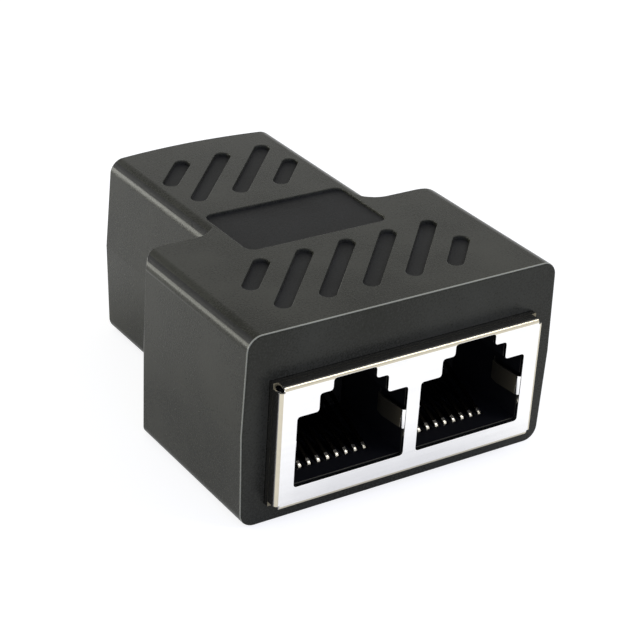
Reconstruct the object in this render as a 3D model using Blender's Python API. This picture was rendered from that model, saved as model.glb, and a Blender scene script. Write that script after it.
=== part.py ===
# Splitter adapter for eight-pin modular plugs: one port at the narrow rear end feeds two ports at
# the wide front end. Two moulded half shells close round a circuit board that carries a double
# jack and a single jack, each in a folded metal shield. Metres, +Z up, ports along Y, the double
# jack facing -Y, origin under the middle of the part.
import math

import bmesh
import bpy
from mathutils import Matrix, Vector

MM = 0.001

# Port opening, the same for all three ports
PORT_WIDTH = 11.9 * MM
PORT_HEIGHT = 7.25 * MM
KEY_WIDTH = 7.35 * MM
KEY_HEIGHT = 1.8 * MM
LATCH_WIDTH = 4.6 * MM
LATCH_HEIGHT = 1.18 * MM
PORT_WEB = 1.45 * MM
PORT_CORNER = 0.3 * MM
PORT_DEPTH = 10.2 * MM
LATCH_DEPTH = 9.0 * MM

# Folded shields
SHEET = 0.3 * MM
FOLD_RADIUS = 0.38 * MM
SHIELD_MARGIN = 1.93 * MM
SHIELD_SILL = 2.05 * MM
SHIELD_HEADER = 0.32 * MM
SHIELD_FLAP = 6.0 * MM
RELIEF_MARGIN = 0.12 * MM
SHIELD_PROTRUSION = 1.75 * MM

# Ground fingers bent back from the side edges of each opening
FINGER_HEIGHT = 2.0 * MM
FINGER_RISE = 2.75 * MM
FINGER_LENGTH = 2.9 * MM
FINGER_INSET = 0.42 * MM
FINGER_TIP = 1.0 * MM
FINGER_SHEET = 0.2 * MM
FINGER_POCKET = 0.3 * MM

# Moulded insulators and contact carriers
MOULD_GAP = 0.15 * MM
INSULATOR_REVEAL = 0.08 * MM
CARRIER_DEPTH = 3.4 * MM
CARRIER_BACK_SPACE = 1.1 * MM
CARRIER_COMB_DEPTH = 0.6 * MM
ROOF_OVERLAP = 0.6 * MM
FLOOR_LIP = 2.4 * MM
POST_RADIUS = 1.2 * MM
POST_INSET = 1.25 * MM
POST_SETBACK = 8.3 * MM
POST_STANDOUT = 0.4 * MM

# Contacts
CONTACT_COUNT = 8
CONTACT_PITCH = 1.016 * MM
CONTACT_WIDTH = 0.35 * MM
CONTACT_THICKNESS = 0.3 * MM
CONTACT_SIDE_GAP = 0.15 * MM
CONTACT_RUN_HEIGHT = 0.45 * MM
CONTACT_NOSE_RADIUS = 0.45 * MM
CONTACT_NOSE_SETBACK = 0.35 * MM
CONTACT_RISE = math.radians(27.0)
CONTACT_HEEL_RADIUS = 0.5 * MM
TAIL_ROW_SETBACK = 1.5 * MM
TAIL_ROW_PITCH = 1.4 * MM
TAIL_STANDOUT = 0.8 * MM

# Circuit board
BOARD_THICKNESS = 1.2 * MM
BOARD_GAP = 0.3 * MM
BOARD_END_GAP = 0.5 * MM
BOARD_HOLE_GAP = 0.25 * MM
BOARD_POST_GAP = 0.3 * MM
BOARD_CORNER = 0.8 * MM

# Half shells
WALL = 1.4 * MM
CRADLE_HEIGHT = 0.4 * MM
CRADLE_WIDTH = 1.2 * MM
SEAT_GAP = 0.3 * MM
HEAD_ROOM = 1.0 * MM
SIDE_SPACE = 1.25 * MM
NECK_SIDE_SPACE = 0.55 * MM
BOSS_BAY = 5.05 * MM
NECK_LENGTH = 7.35 * MM
REAR_CROWN = 0.8 * MM
SIDE_DRAFT = 0.25 * MM
END_DRAFT = 0.5 * MM
SHOULDER_DRAFT = 0.25 * MM
EDGE_RADIUS = 1.5 * MM
EDGE_BREAK = 0.12 * MM
SHOULDER_RADIUS = 2.8 * MM
SHOULDER_EASE = 0.1 * MM
WEB_EASE = 0.02 * MM
ROUND_EASE = 0.005 * MM
NECK_RADIUS = 3.2 * MM
PARTING_GAP = 0.04 * MM
SHIELD_HOLE_GAP = 0.25 * MM
TONGUE_HEIGHT = 0.8 * MM
TONGUE_WIDTH = 0.6 * MM
TONGUE_GAP = 0.1 * MM
BOSS_RADIUS = 1.9 * MM
BOSS_WALL_GAP = 0.3 * MM
PIN_RADIUS = 0.8 * MM
PIN_LENGTH = 3.0 * MM
PIN_GAP = 0.15 * MM
BOARD_PAD_RADIUS = 1.3 * MM

# Shallow slots and the plain recess moulded into the top
SLOT_WIDTH = 1.6 * MM
SLOT_LENGTH = 12.5 * MM
SHORT_SLOT_LENGTH = 6.6 * MM
SLOT_EDGE = 1.0 * MM
SLOT_ANGLE = math.radians(47.0)
SLOT_DEPTH = 0.4 * MM
FRONT_SLOT_COUNT = 6
REAR_SLOT_COUNT = 4
FRONT_ROW_SETBACK = 8.2 * MM
REAR_ROW_SETBACK = 9.1 * MM
RECESS_MARGIN = 0.22 * MM
RECESS_LENGTH = 8.6 * MM
RECESS_CORNER = 1.0 * MM
RECESS_DEPTH = 0.3 * MM
RECESS_SHIFT = 0.65 * MM

OVERCUT = 1.0 * MM
WELD = 0.001 * MM
FLAT_ANGLE = math.radians(0.2)
SMOOTH_ANGLE = math.radians(30.0)
MITRE_LIMIT = 0.5
ARC_STEPS = 8
CORNER_STEPS = 3
FOLD_STEPS = 3
HEEL_STEPS = 3
ROUND_STEPS = 16
CROWN_STEPS = 11
HOLE_STEPS = 8

# Heights, from the underside up
shield_bottom = WALL + CRADLE_HEIGHT + SEAT_GAP
port_floor = shield_bottom + SHIELD_SILL
port_top = port_floor + PORT_HEIGHT
key_top = port_top + KEY_HEIGHT
latch_top = key_top + LATCH_HEIGHT
shield_top = latch_top + SHIELD_HEADER
insulator_bottom = shield_bottom + SHEET + MOULD_GAP
insulator_floor = port_floor + INSULATOR_REVEAL
insulator_top = shield_top - SHEET - MOULD_GAP
board_bottom = shield_top + BOARD_GAP
board_top = board_bottom + BOARD_THICKNESS
ceiling = board_top + TAIL_STANDOUT + HEAD_ROOM
housing_height = ceiling + WALL
parting = housing_height / 2

# Depths into a jack, from the front face of its shield
insulator_front = SHEET + MOULD_GAP
jack_back = PORT_DEPTH + CARRIER_DEPTH
shield_depth = jack_back + CARRIER_BACK_SPACE + SHEET
roof_back = PORT_DEPTH + ROOF_OVERLAP
tail_rows = (PORT_DEPTH + TAIL_ROW_SETBACK, PORT_DEPTH + TAIL_ROW_SETBACK + TAIL_ROW_PITCH)

# Widths
cavity_half = PORT_WIDTH / 2 + INSULATOR_REVEAL
contact_slot_half = CONTACT_WIDTH / 2 + CONTACT_SIDE_GAP
port_pitch = PORT_WIDTH + PORT_WEB
post_offset = PORT_WIDTH / 2 - POST_INSET
front_ports = (-port_pitch / 2, port_pitch / 2)
rear_ports = (0.0,)
front_shield_half = port_pitch / 2 + PORT_WIDTH / 2 + SHIELD_MARGIN
rear_shield_half = PORT_WIDTH / 2 + SHIELD_MARGIN
wide_half = front_shield_half + SIDE_SPACE + WALL
narrow_half = rear_shield_half + NECK_SIDE_SPACE + WALL
neck_side = narrow_half - SIDE_DRAFT * (1 - EDGE_RADIUS / parting)
neck_flat = neck_side - EDGE_RADIUS + ROUND_EASE
web_centre_x = neck_flat + NECK_RADIUS - 2 * WEB_EASE
slot_pitch = 2 * (neck_flat - SLOT_EDGE) / (REAR_SLOT_COUNT - 1)

# Lengths along Y
jack_inset = shield_depth - SHIELD_PROTRUSION
wide_length = jack_inset + BOSS_BAY + WALL
housing_length = wide_length + NECK_LENGTH + jack_inset
front_y = -housing_length / 2
rear_y = housing_length / 2
shoulder_y = front_y + wide_length

# Inside of the half shells
wide_room = wide_half - SIDE_DRAFT - WALL
narrow_room = narrow_half - SIDE_DRAFT - WALL
room_front = front_y + WALL
room_shoulder = shoulder_y - SHOULDER_DRAFT - WALL
room_rear = rear_y - REAR_CROWN - END_DRAFT - WALL
board_front = room_front + BOARD_END_GAP
board_rear = room_rear - BOARD_END_GAP
boss_places = (
    (wide_room - BOSS_RADIUS - BOSS_WALL_GAP, (front_y + jack_inset + room_shoulder) / 2),
    (narrow_room - BOSS_RADIUS - BOSS_WALL_GAP, shoulder_y + NECK_LENGTH / 2),
)
boss_centres = [(sign * x, y) for x, y in boss_places for sign in (-1, 1)]

# A prism's outline lies across the first two columns of its axes and is extruded along the third
ALONG_X = Matrix(((0, 0, 1, 0), (1, 0, 0, 0), (0, 1, 0, 0), (0, 0, 0, 1)))
ALONG_Y = Matrix(((1, 0, 0, 0), (0, 0, 1, 0), (0, 1, 0, 0), (0, 0, 0, 1)))
ALONG_Z = Matrix.Identity(4)


for leftover in list(bpy.data.objects):
    bpy.data.objects.remove(leftover, do_unlink=True)

parts = bpy.data.collections.new("splitter_adapter")
cutters = bpy.data.collections.new("cutters")
for collection in (parts, cutters):
    bpy.context.scene.collection.children.link(collection)


def make_frame(name, y, turn=0.0):
    """Empty that carries the pieces of one assembly."""
    frame = bpy.data.objects.new(name, None)
    frame.location = (0.0, y, 0.0)
    frame.rotation_euler = (0.0, 0.0, turn)
    parts.objects.link(frame)
    return frame


def make_material(name, colour, roughness, metallic=0.0):
    material = bpy.data.materials.new(name)
    material.use_nodes = True
    shader = material.node_tree.nodes["Principled BSDF"]
    shader.inputs["Base Color"].default_value = (*colour, 1.0)
    shader.inputs["Roughness"].default_value = roughness
    shader.inputs["Metallic"].default_value = metallic
    return material


def add_part(name, mesh, frame, material):
    part = bpy.data.objects.new(name, mesh)
    part.parent = frame
    parts.objects.link(part)
    mesh.materials.append(material)
    mesh.shade_smooth()
    mesh.set_sharp_from_angle(angle=SMOOTH_ANGLE)
    return part


def add_tool(name, mesh, frame):
    """Object that only cuts or completes a part, left out of the build."""
    tool = bpy.data.objects.new(name, mesh)
    tool.parent = frame
    tool.hide_render = True
    tool.display_type = "WIRE"
    cutters.objects.link(tool)
    return tool


def combine(part, tool, operation):
    step = part.modifiers.new(tool.name, "BOOLEAN")
    step.object = tool
    step.operation = operation
    step.solver = "EXACT"


def arc(across, up, radius, start, end, steps=ARC_STEPS):
    """Points on an arc, angles in degrees."""
    turns = [math.radians(start + (end - start) * step / steps) for step in range(steps + 1)]
    return [(across + radius * math.cos(turn), up + radius * math.sin(turn)) for turn in turns]


def mirrored(half):
    """Closed outline from its right half."""
    return half + [(-across, up) for across, up in reversed(half)]


def finish_mesh(shape, name):
    mesh = bpy.data.meshes.new(name)
    shape.to_mesh(mesh)
    shape.free()
    return mesh


def prism(name, outline, low, high, axes=ALONG_Z):
    """Flat outline extruded from low to high."""
    curve = bpy.data.curves.new(name, "CURVE")
    curve.dimensions = "2D"
    curve.fill_mode = "BOTH"
    curve.extrude = (high - low) / 2
    spline = curve.splines.new("POLY")
    spline.points.add(len(outline) - 1)
    for point, (across, up) in zip(spline.points, outline):
        point.co = (across, up, 0.0, 1.0)
    spline.use_cyclic_u = True
    holder = bpy.data.objects.new(name, curve)
    cutters.objects.link(holder)
    graph = bpy.context.evaluated_depsgraph_get()
    raw = bpy.data.meshes.new_from_object(holder.evaluated_get(graph))
    bpy.data.objects.remove(holder, do_unlink=True)
    shape = bmesh.new()
    shape.from_mesh(raw)
    bpy.data.meshes.remove(raw)
    bmesh.ops.remove_doubles(shape, verts=shape.verts, dist=WELD)
    bmesh.ops.dissolve_limit(shape, angle_limit=FLAT_ANGLE, verts=shape.verts, edges=shape.edges)
    for vertex in shape.verts:
        vertex.co.z = high if vertex.co.z > 0.0 else low
    shape.transform(axes)
    shape.normal_update()
    bmesh.ops.recalc_face_normals(shape, faces=shape.faces)
    return finish_mesh(shape, name)


def boxes(name, corners):
    """Boxes given by their lowest and highest corners."""
    shape = bmesh.new()
    for low, high in corners:
        size = Vector(high) - Vector(low)
        middle = (Vector(high) + Vector(low)) / 2
        place = Matrix.Translation(middle) @ Matrix.Diagonal((*size, 1.0))
        bmesh.ops.create_cube(shape, size=1.0, matrix=place)
    return finish_mesh(shape, name)


def cylinders(name, radius, low, high, centres, steps=ROUND_STEPS):
    """Upright cylinders of one size."""
    shape = bmesh.new()
    for x, y in centres:
        place = Matrix.Translation((x, y, (low + high) / 2))
        bmesh.ops.create_cone(
            shape, cap_ends=True, segments=steps, radius1=radius, radius2=radius,
            depth=high - low, matrix=place,
        )
    return finish_mesh(shape, name)


# Half shells


def lean_walls(mesh, side):
    """Draft of the shoulders, webs, neck sides and rear end, so that a mould lets go of them."""
    for vertex in mesh.vertices:
        height = side * (vertex.co.z - parting) / parting
        rearward = vertex.co.y > shoulder_y + NECK_RADIUS + WELD
        vertex.co.y -= (END_DRAFT if rearward else SHOULDER_DRAFT) * height
        if abs(vertex.co.x) < web_centre_x + WELD:
            vertex.co.x -= math.copysign(SIDE_DRAFT * height, vertex.co.x)
    return mesh


def shell_profile(side):
    """Cross-section of the wide part of a half shell, from the parting plane to its outer face."""
    outer = parting + side * parting
    flat_half = wide_half - SIDE_DRAFT - EDGE_RADIUS
    corner = arc(flat_half, outer - side * EDGE_RADIUS, EDGE_RADIUS, 0.0, side * 90.0)
    return mirrored([(wide_half, parting + side * PARTING_GAP / 2)] + corner)


def spandrel(x, y, radius, sign_x, sign_y):
    """Outline between a square corner and the arc that rounds it, with some overlap behind."""
    start = 180.0 if sign_x > 0 else 0.0
    curve = arc(x + sign_x * radius, y + sign_y * radius, radius, start, start + 90.0 * sign_x * sign_y)
    behind_x = x - sign_x * OVERCUT
    behind_y = y - sign_y * OVERCUT
    return curve + [(curve[-1][0], behind_y), (behind_x, behind_y), (behind_x, curve[0][1])]


def break_front_edge(mesh):
    """Small chamfer round the front face."""
    shape = bmesh.new()
    shape.from_mesh(mesh)
    rim = []
    for edge in shape.edges:
        on_front = all(abs(vertex.co.y - front_y) < WELD for vertex in edge.verts)
        on_parting = all(abs(vertex.co.z - parting) < PARTING_GAP for vertex in edge.verts)
        if on_front and not on_parting:
            rim.append(edge)
    bmesh.ops.bevel(shape, geom=rim, offset=EDGE_BREAK, segments=1, profile=0.5, affect="EDGES")
    shape.to_mesh(mesh)
    shape.free()


def slot_outline(centre_x, centre_y, length):
    """Slanted slot with round ends."""
    reach = (length - SLOT_WIDTH) / 2
    lean = math.degrees(SLOT_ANGLE)
    step_x = reach * math.cos(SLOT_ANGLE)
    step_y = reach * math.sin(SLOT_ANGLE)
    radius = SLOT_WIDTH / 2
    head = arc(centre_x + step_x, centre_y + step_y, radius, lean - 90.0, lean + 90.0)
    foot = arc(centre_x - step_x, centre_y - step_y, radius, lean + 90.0, lean + 270.0)
    return head + foot


def slot_row(centre_y, count):
    """Outlines of one row: the first slot keeps only its far end and the last its near end."""
    spare = (SLOT_LENGTH - SHORT_SLOT_LENGTH) / 2
    outlines = []
    for index in range(count):
        x = (index - (count - 1) / 2) * slot_pitch
        shift = {0: spare, count - 1: -spare}.get(index, 0.0)
        length = SHORT_SLOT_LENGTH if shift else SLOT_LENGTH
        outlines.append(slot_outline(
            x + shift * math.cos(SLOT_ANGLE), centre_y + shift * math.sin(SLOT_ANGLE), length
        ))
    return outlines


def recess_outline():
    middle = shoulder_y - RECESS_SHIFT
    inner_x = neck_flat - RECESS_MARGIN - RECESS_CORNER
    inner_y = RECESS_LENGTH / 2 - RECESS_CORNER
    lower = arc(inner_x, middle - inner_y, RECESS_CORNER, -90.0, 0.0)
    upper = arc(inner_x, middle + inner_y, RECESS_CORNER, 0.0, 90.0)
    return mirrored(lower + upper)


def room_outline(growth=0.0):
    """Plan of the space inside the walls, larger by growth all round."""
    return mirrored([
        (wide_room + growth, room_front - growth), (wide_room + growth, room_shoulder + growth),
        (narrow_room + growth, room_shoulder + growth), (narrow_room + growth, room_rear + growth),
    ])


def plan_outline():
    """Plan behind the front face: round shoulders, webs into the neck and a bowed rear end."""
    past = wide_half + OVERCUT
    corner_y = shoulder_y - SHOULDER_RADIUS
    corner_x = wide_half + SHOULDER_EASE - SHOULDER_RADIUS
    meet = math.degrees(math.acos((web_centre_x - narrow_half) / NECK_RADIUS))
    radius = (narrow_half ** 2 + REAR_CROWN ** 2) / (2 * REAR_CROWN)
    spread = math.degrees(math.asin(narrow_half / radius))
    crown = arc(0.0, rear_y - radius, radius, 90.0 - spread, 90.0 + spread, CROWN_STEPS)
    right = [(past, front_y - OVERCUT), (past, corner_y)]
    right += arc(corner_x, corner_y, SHOULDER_RADIUS, 0.0, 90.0)
    right += arc(web_centre_x, shoulder_y + NECK_RADIUS, NECK_RADIUS, 270.0, 180.0 + meet)
    return mirrored(right + [(across, up) for across, up in crown if across > 0.0])


def neck_edge(name, side, sign, reach, frame):
    """What rounds one long edge of the neck, up to the web."""
    outer = parting + side * parting
    corner = (sign * (neck_side + ROUND_EASE), outer + side * ROUND_EASE)
    section = spandrel(*corner, EDGE_RADIUS, -sign, -side)
    rounding = prism(name + "_neck_edge", section, shoulder_y - OVERCUT / 2, rear_y + OVERCUT, ALONG_Y)
    tool = add_tool(rounding.name, rounding, frame)
    radius = NECK_RADIUS - WEB_EASE
    kept = spandrel(sign * (web_centre_x - radius), shoulder_y + WEB_EASE, radius, sign, 1)
    web = lean_walls(prism(name + "_web", kept, *reach), side)
    combine(tool, add_tool(web.name, web, frame), "DIFFERENCE")
    return tool


def shield_holes():
    """Boxes that clear the end walls for the two shields."""
    corners = []
    for half, near, far in ((front_shield_half, front_y - OVERCUT, room_front + OVERCUT),
                            (rear_shield_half, room_rear - OVERCUT, rear_y + OVERCUT)):
        low = (-half - SHIELD_HOLE_GAP, near, shield_bottom - SHIELD_HOLE_GAP)
        high = (half + SHIELD_HOLE_GAP, far, shield_top + SHIELD_HOLE_GAP)
        corners.append((low, high))
    return corners


def half_shell(name, side, frame, material):
    """One moulded half: side is 1 for the top half and -1 for the bottom half."""
    outer = parting + side * parting
    seam = parting + side * PARTING_GAP / 2
    low, high = sorted((seam, outer))
    reach = (low - OVERCUT, high + OVERCUT)
    block = prism(name, shell_profile(side), front_y, rear_y + OVERCUT, ALONG_Y)
    break_front_edge(block)
    shell = add_part(name, block, frame, material)
    plan = lean_walls(prism(name + "_plan", plan_outline(), *reach), side)
    combine(shell, add_tool(plan.name, plan, frame), "INTERSECT")
    for sign in (-1, 1):
        combine(shell, neck_edge(name, side, sign, reach, frame), "DIFFERENCE")

    if side < 0:
        tongue = prism(name + "_tongue", room_outline(TONGUE_WIDTH), seam - WALL, seam + TONGUE_HEIGHT)
        combine(shell, add_tool(tongue.name, tongue, frame), "UNION")
    else:
        outline = room_outline(TONGUE_WIDTH + TONGUE_GAP)
        rebate = prism(name + "_rebate", outline, seam - OVERCUT, seam + TONGUE_HEIGHT + TONGUE_GAP)
        combine(shell, add_tool(rebate.name, rebate, frame), "DIFFERENCE")
    room_low, room_high = sorted((parting - side * 2 * OVERCUT, outer - side * WALL))
    room = prism(name + "_room", room_outline(), room_low, room_high)
    combine(shell, add_tool(room.name, room, frame), "DIFFERENCE")
    holes = boxes(name + "_shield_holes", shield_holes())
    combine(shell, add_tool(holes.name, holes, frame), "DIFFERENCE")
    return shell


def mark_top(top, frame):
    """Shallow slots and the plain recess in the top face."""
    above = housing_height + OVERCUT
    rows = (slot_row(front_y + FRONT_ROW_SETBACK, FRONT_SLOT_COUNT)
            + slot_row(rear_y - REAR_ROW_SETBACK, REAR_SLOT_COUNT))
    for outline in rows:
        slot = prism("top_slot", outline, housing_height - SLOT_DEPTH, above)
        combine(top, add_tool(slot.name, slot, frame), "DIFFERENCE")
    recess = prism("top_recess", recess_outline(), housing_height - RECESS_DEPTH, above)
    combine(top, add_tool(recess.name, recess, frame), "DIFFERENCE")


def build_housing(frame, material):
    """Both half shells, with the bosses and pins that align them and what holds the inner parts."""
    top = half_shell("housing_top", 1, frame, material)
    bottom = half_shell("housing_bottom", -1, frame, material)
    mark_top(top, frame)

    root = WALL / 2
    seam = parting + PARTING_GAP / 2
    socket_end = seam + PIN_LENGTH + SEAT_GAP
    tubes = cylinders("boss_tubes", BOSS_RADIUS, seam, ceiling + root, boss_centres)
    combine(top, add_tool("boss_tubes", tubes, frame), "UNION")
    sockets = cylinders("boss_sockets", PIN_RADIUS + PIN_GAP, seam - OVERCUT, socket_end, boss_centres)
    combine(top, add_tool("boss_sockets", sockets, frame), "DIFFERENCE")
    pad_face = board_top + SEAT_GAP
    pads = cylinders("board_pads", BOARD_PAD_RADIUS, pad_face, ceiling + root, board_pad_centres())
    combine(top, add_tool("board_pads", pads, frame), "UNION")

    seam = parting - PARTING_GAP / 2
    stands = cylinders("boss_stands", BOSS_RADIUS, WALL - root, seam, boss_centres)
    combine(bottom, add_tool("boss_stands", stands, frame), "UNION")
    pins = cylinders("boss_pins", PIN_RADIUS, seam - root, seam + PIN_LENGTH, boss_centres)
    combine(bottom, add_tool("boss_pins", pins, frame), "UNION")
    cradles = boxes("cradles", cradle_corners(WALL - root))
    combine(bottom, add_tool("cradles", cradles, frame), "UNION")


def board_pad_centres():
    """Pads that press on the board at its ends and on its neck."""
    front_pads = [(x, board_front + BOARD_PAD_RADIUS) for x in front_ports]
    return front_pads + [(0.0, shoulder_y + NECK_LENGTH / 2), (0.0, board_rear - BOARD_PAD_RADIUS)]


def cradle_corners(foot):
    """Ribs that carry the shields' undersides."""
    corners = []
    rows = ((front_shield_half / 2, room_front, front_y + jack_inset),
            (rear_shield_half / 2, rear_y - jack_inset, room_rear))
    for half, near, far in rows:
        for x in (-half, half):
            low = (x - CRADLE_WIDTH / 2, near + SEAT_GAP, foot)
            high = (x + CRADLE_WIDTH / 2, far - SEAT_GAP, shield_bottom - SEAT_GAP)
            corners.append((low, high))
    return corners


# Jacks, each built in its own frame: the shield's front face at y 0 and the port running to +Y


def rounded(outline, radius):
    """Outline whose corners are all square, with each of them rounded."""
    points = []
    for index, corner in enumerate(outline):
        here = Vector(corner)
        back = (Vector(outline[index - 1]) - here).normalized() * radius
        ahead = (Vector(outline[(index + 1) % len(outline)]) - here).normalized() * radius
        centre = here + back + ahead
        for step in range(CORNER_STEPS + 1):
            turn = math.pi / 2 * step / CORNER_STEPS
            points.append(centre - ahead * math.cos(turn) - back * math.sin(turn))
    return points


def port_outline(centre_x):
    """Stepped opening for a plug with its latch upwards."""
    right = [
        (PORT_WIDTH / 2, port_floor), (PORT_WIDTH / 2, port_top), (KEY_WIDTH / 2, port_top),
        (KEY_WIDTH / 2, key_top), (LATCH_WIDTH / 2, key_top), (LATCH_WIDTH / 2, latch_top),
    ]
    return [(centre_x + across, up) for across, up in rounded(mirrored(right), PORT_CORNER)]


def folded_box(name, half, inset):
    """Block with its edges rounded as a sheet folds, smaller by inset on each side."""
    low = (-half + inset, inset, shield_bottom + inset)
    high = (half - inset, shield_depth - inset, shield_top - inset)
    mesh = boxes(name, [(low, high)])
    shape = bmesh.new()
    shape.from_mesh(mesh)
    bmesh.ops.bevel(
        shape, geom=shape.edges, offset=FOLD_RADIUS - inset, segments=FOLD_STEPS, profile=0.5,
        affect="EDGES",
    )
    shape.to_mesh(mesh)
    shape.free()
    return mesh


def finger_outline(centre_x, sign):
    """Ground finger seen from above: it leaves the opening's edge, runs in and turns out again."""
    edge = PORT_WIDTH / 2
    turn = FINGER_SHEET
    root = SHEET / 2
    path = [
        (edge + SHEET, root), (edge + turn / 2, root), (edge - turn / 2, root + turn / 2),
        (edge - turn, root + turn + turn / 2), (edge - FINGER_INSET, root + FINGER_LENGTH),
        (edge - turn, root + FINGER_LENGTH + FINGER_TIP),
    ]
    return [(centre_x + sign * across, depth) for across, depth in strip(path, FINGER_SHEET)]


def strip(path, thickness):
    """Closed outline of a bent strip from its centre line."""
    left = []
    right = []
    for index, (across, up) in enumerate(path):
        before = Vector(path[max(index - 1, 0)])
        after = Vector(path[min(index + 1, len(path) - 1)])
        here = Vector((across, up))
        arrive = (here - before).normalized() if index else (after - here).normalized()
        leave = (after - here).normalized() if index < len(path) - 1 else arrive
        normal = Vector((-(arrive.y + leave.y), arrive.x + leave.x)).normalized()
        spread = thickness / 2 / max(normal.dot(Vector((-leave.y, leave.x))), MITRE_LIMIT)
        left.append(tuple(here + normal * spread))
        right.append(tuple(here - normal * spread))
    return left + right[::-1]


def build_shield(name, ports, half, frame, material):
    """One sheet folded round the jack, with a stepped hole for each port."""
    shield = add_part(name, folded_box(name, half, 0.0), frame, material)
    combine(shield, add_tool(name + "_hollow", folded_box(name, half, SHEET), frame), "DIFFERENCE")

    window = [((-half - OVERCUT, SHIELD_FLAP, shield_top - FOLD_RADIUS),
               (half + OVERCUT, shield_depth + OVERCUT, shield_top + OVERCUT))]
    combine(shield, add_tool(name + "_board_side", boxes(name, window), frame), "DIFFERENCE")

    relief = FOLD_RADIUS + RELIEF_MARGIN
    seams = []
    for sign in (-1, 1):
        inner_x, outer_x = sign * (half - relief), sign * (half + OVERCUT)
        left, right = sorted((inner_x, outer_x))
        for inner_z, outer_z in ((shield_bottom + relief, shield_bottom - OVERCUT),
                                 (shield_top - relief, shield_top + OVERCUT)):
            low, high = sorted((inner_z, outer_z))
            seams.append(((left, -OVERCUT, low), (right, shield_depth + OVERCUT, high)))
    combine(shield, add_tool(name + "_seams", boxes(name, seams), frame), "DIFFERENCE")

    for index, centre_x in enumerate(ports):
        hole = prism(name, port_outline(centre_x), -OVERCUT, SHEET + OVERCUT, ALONG_Y)
        combine(shield, add_tool("%s_hole_%d" % (name, index), hole, frame), "DIFFERENCE")
        low = port_floor + FINGER_RISE
        for sign in (-1, 1):
            finger = prism(name, finger_outline(centre_x, sign), low, low + FINGER_HEIGHT)
            combine(shield, add_tool("%s_finger_%d_%d" % (name, index, sign), finger, frame), "UNION")


def contact_places(centre_x):
    middle = (CONTACT_COUNT - 1) / 2
    return [centre_x + (index - middle) * CONTACT_PITCH for index in range(CONTACT_COUNT)]


def post_places(centre_x):
    return [(centre_x - post_offset, POST_SETBACK), (centre_x + post_offset, POST_SETBACK)]


def build_insulator(name, ports, half, frame, material):
    """Moulded body of the jack: stepped cavities, slotted floor and posts into the board."""
    body_half = half - SHEET - MOULD_GAP
    low = (-body_half, insulator_front, insulator_bottom)
    high = (body_half, jack_back, insulator_top)
    insulator = add_part(name, boxes(name, [(low, high)]), frame, material)
    mouth = insulator_front - OVERCUT
    past = jack_back + OVERCUT
    above = insulator_top + OVERCUT
    ledge = port_top + INSULATOR_REVEAL
    key_half = KEY_WIDTH / 2 + INSULATOR_REVEAL
    latch_half = LATCH_WIDTH / 2 + INSULATOR_REVEAL
    pocket_back = FINGER_LENGTH + FINGER_TIP + MOULD_GAP + SHEET
    pocket_low = port_floor + FINGER_RISE - MOULD_GAP
    pocket_high = port_floor + FINGER_RISE + FINGER_HEIGHT + MOULD_GAP

    cavities, keys, latches, roofs, pockets, slots = [], [], [], [], [], []
    for x in ports:
        reach = cavity_half + FINGER_POCKET
        under = ledge - OVERCUT
        cavities.append(((x - cavity_half, mouth, insulator_floor), (x + cavity_half, past, ledge)))
        keys.append(((x - key_half, mouth, under), (x + key_half, LATCH_DEPTH, key_top + INSULATOR_REVEAL)))
        latches.append(((x - latch_half, mouth, under), (x + latch_half, LATCH_DEPTH, above)))
        roofs.append(((x - cavity_half, roof_back, under), (x + cavity_half, past, above)))
        pockets.append(((x - reach, mouth, pocket_low), (x + reach, pocket_back, pocket_high)))
        for slot_x in contact_places(x):
            low = (slot_x - contact_slot_half, FLOOR_LIP, insulator_bottom - OVERCUT)
            slots.append((low, (slot_x + contact_slot_half, past, insulator_floor + OVERCUT)))

    for label, corners in (("cavities", cavities), ("keys", keys), ("latches", latches),
                           ("roofs", roofs), ("pockets", pockets), ("floor_slots", slots)):
        combine(insulator, add_tool("%s_%s" % (name, label), boxes(name, corners), frame), "DIFFERENCE")
    foot, head = insulator_top - MOULD_GAP, board_top + POST_STANDOUT
    for index, x in enumerate(ports):
        posts = cylinders(name, POST_RADIUS, foot, head, post_places(x))
        combine(insulator, add_tool("%s_posts_%d" % (name, index), posts, frame), "UNION")


def contact_path(tail_depth):
    """Centre line of a contact, from its tail in the board to its free end in the comb."""
    run = insulator_bottom + CONTACT_RUN_HEIGHT
    heel = CONTACT_HEEL_RADIUS
    nose = CONTACT_NOSE_RADIUS
    nose_depth = FLOOR_LIP + CONTACT_NOSE_SETBACK + nose
    rise = math.degrees(CONTACT_RISE)
    tail = [(tail_depth, board_top + TAIL_STANDOUT)]
    bend = arc(tail_depth - heel, run + heel, heel, 0.0, -90.0, HEEL_STEPS)
    curl = arc(nose_depth, run + nose, nose, -90.0, rise - 270.0)
    reach = PORT_DEPTH + CARRIER_COMB_DEPTH / 2 - curl[-1][0]
    free_end = [(curl[-1][0] + reach, curl[-1][1] + reach * math.tan(CONTACT_RISE))]
    return tail + bend + curl + free_end


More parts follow.
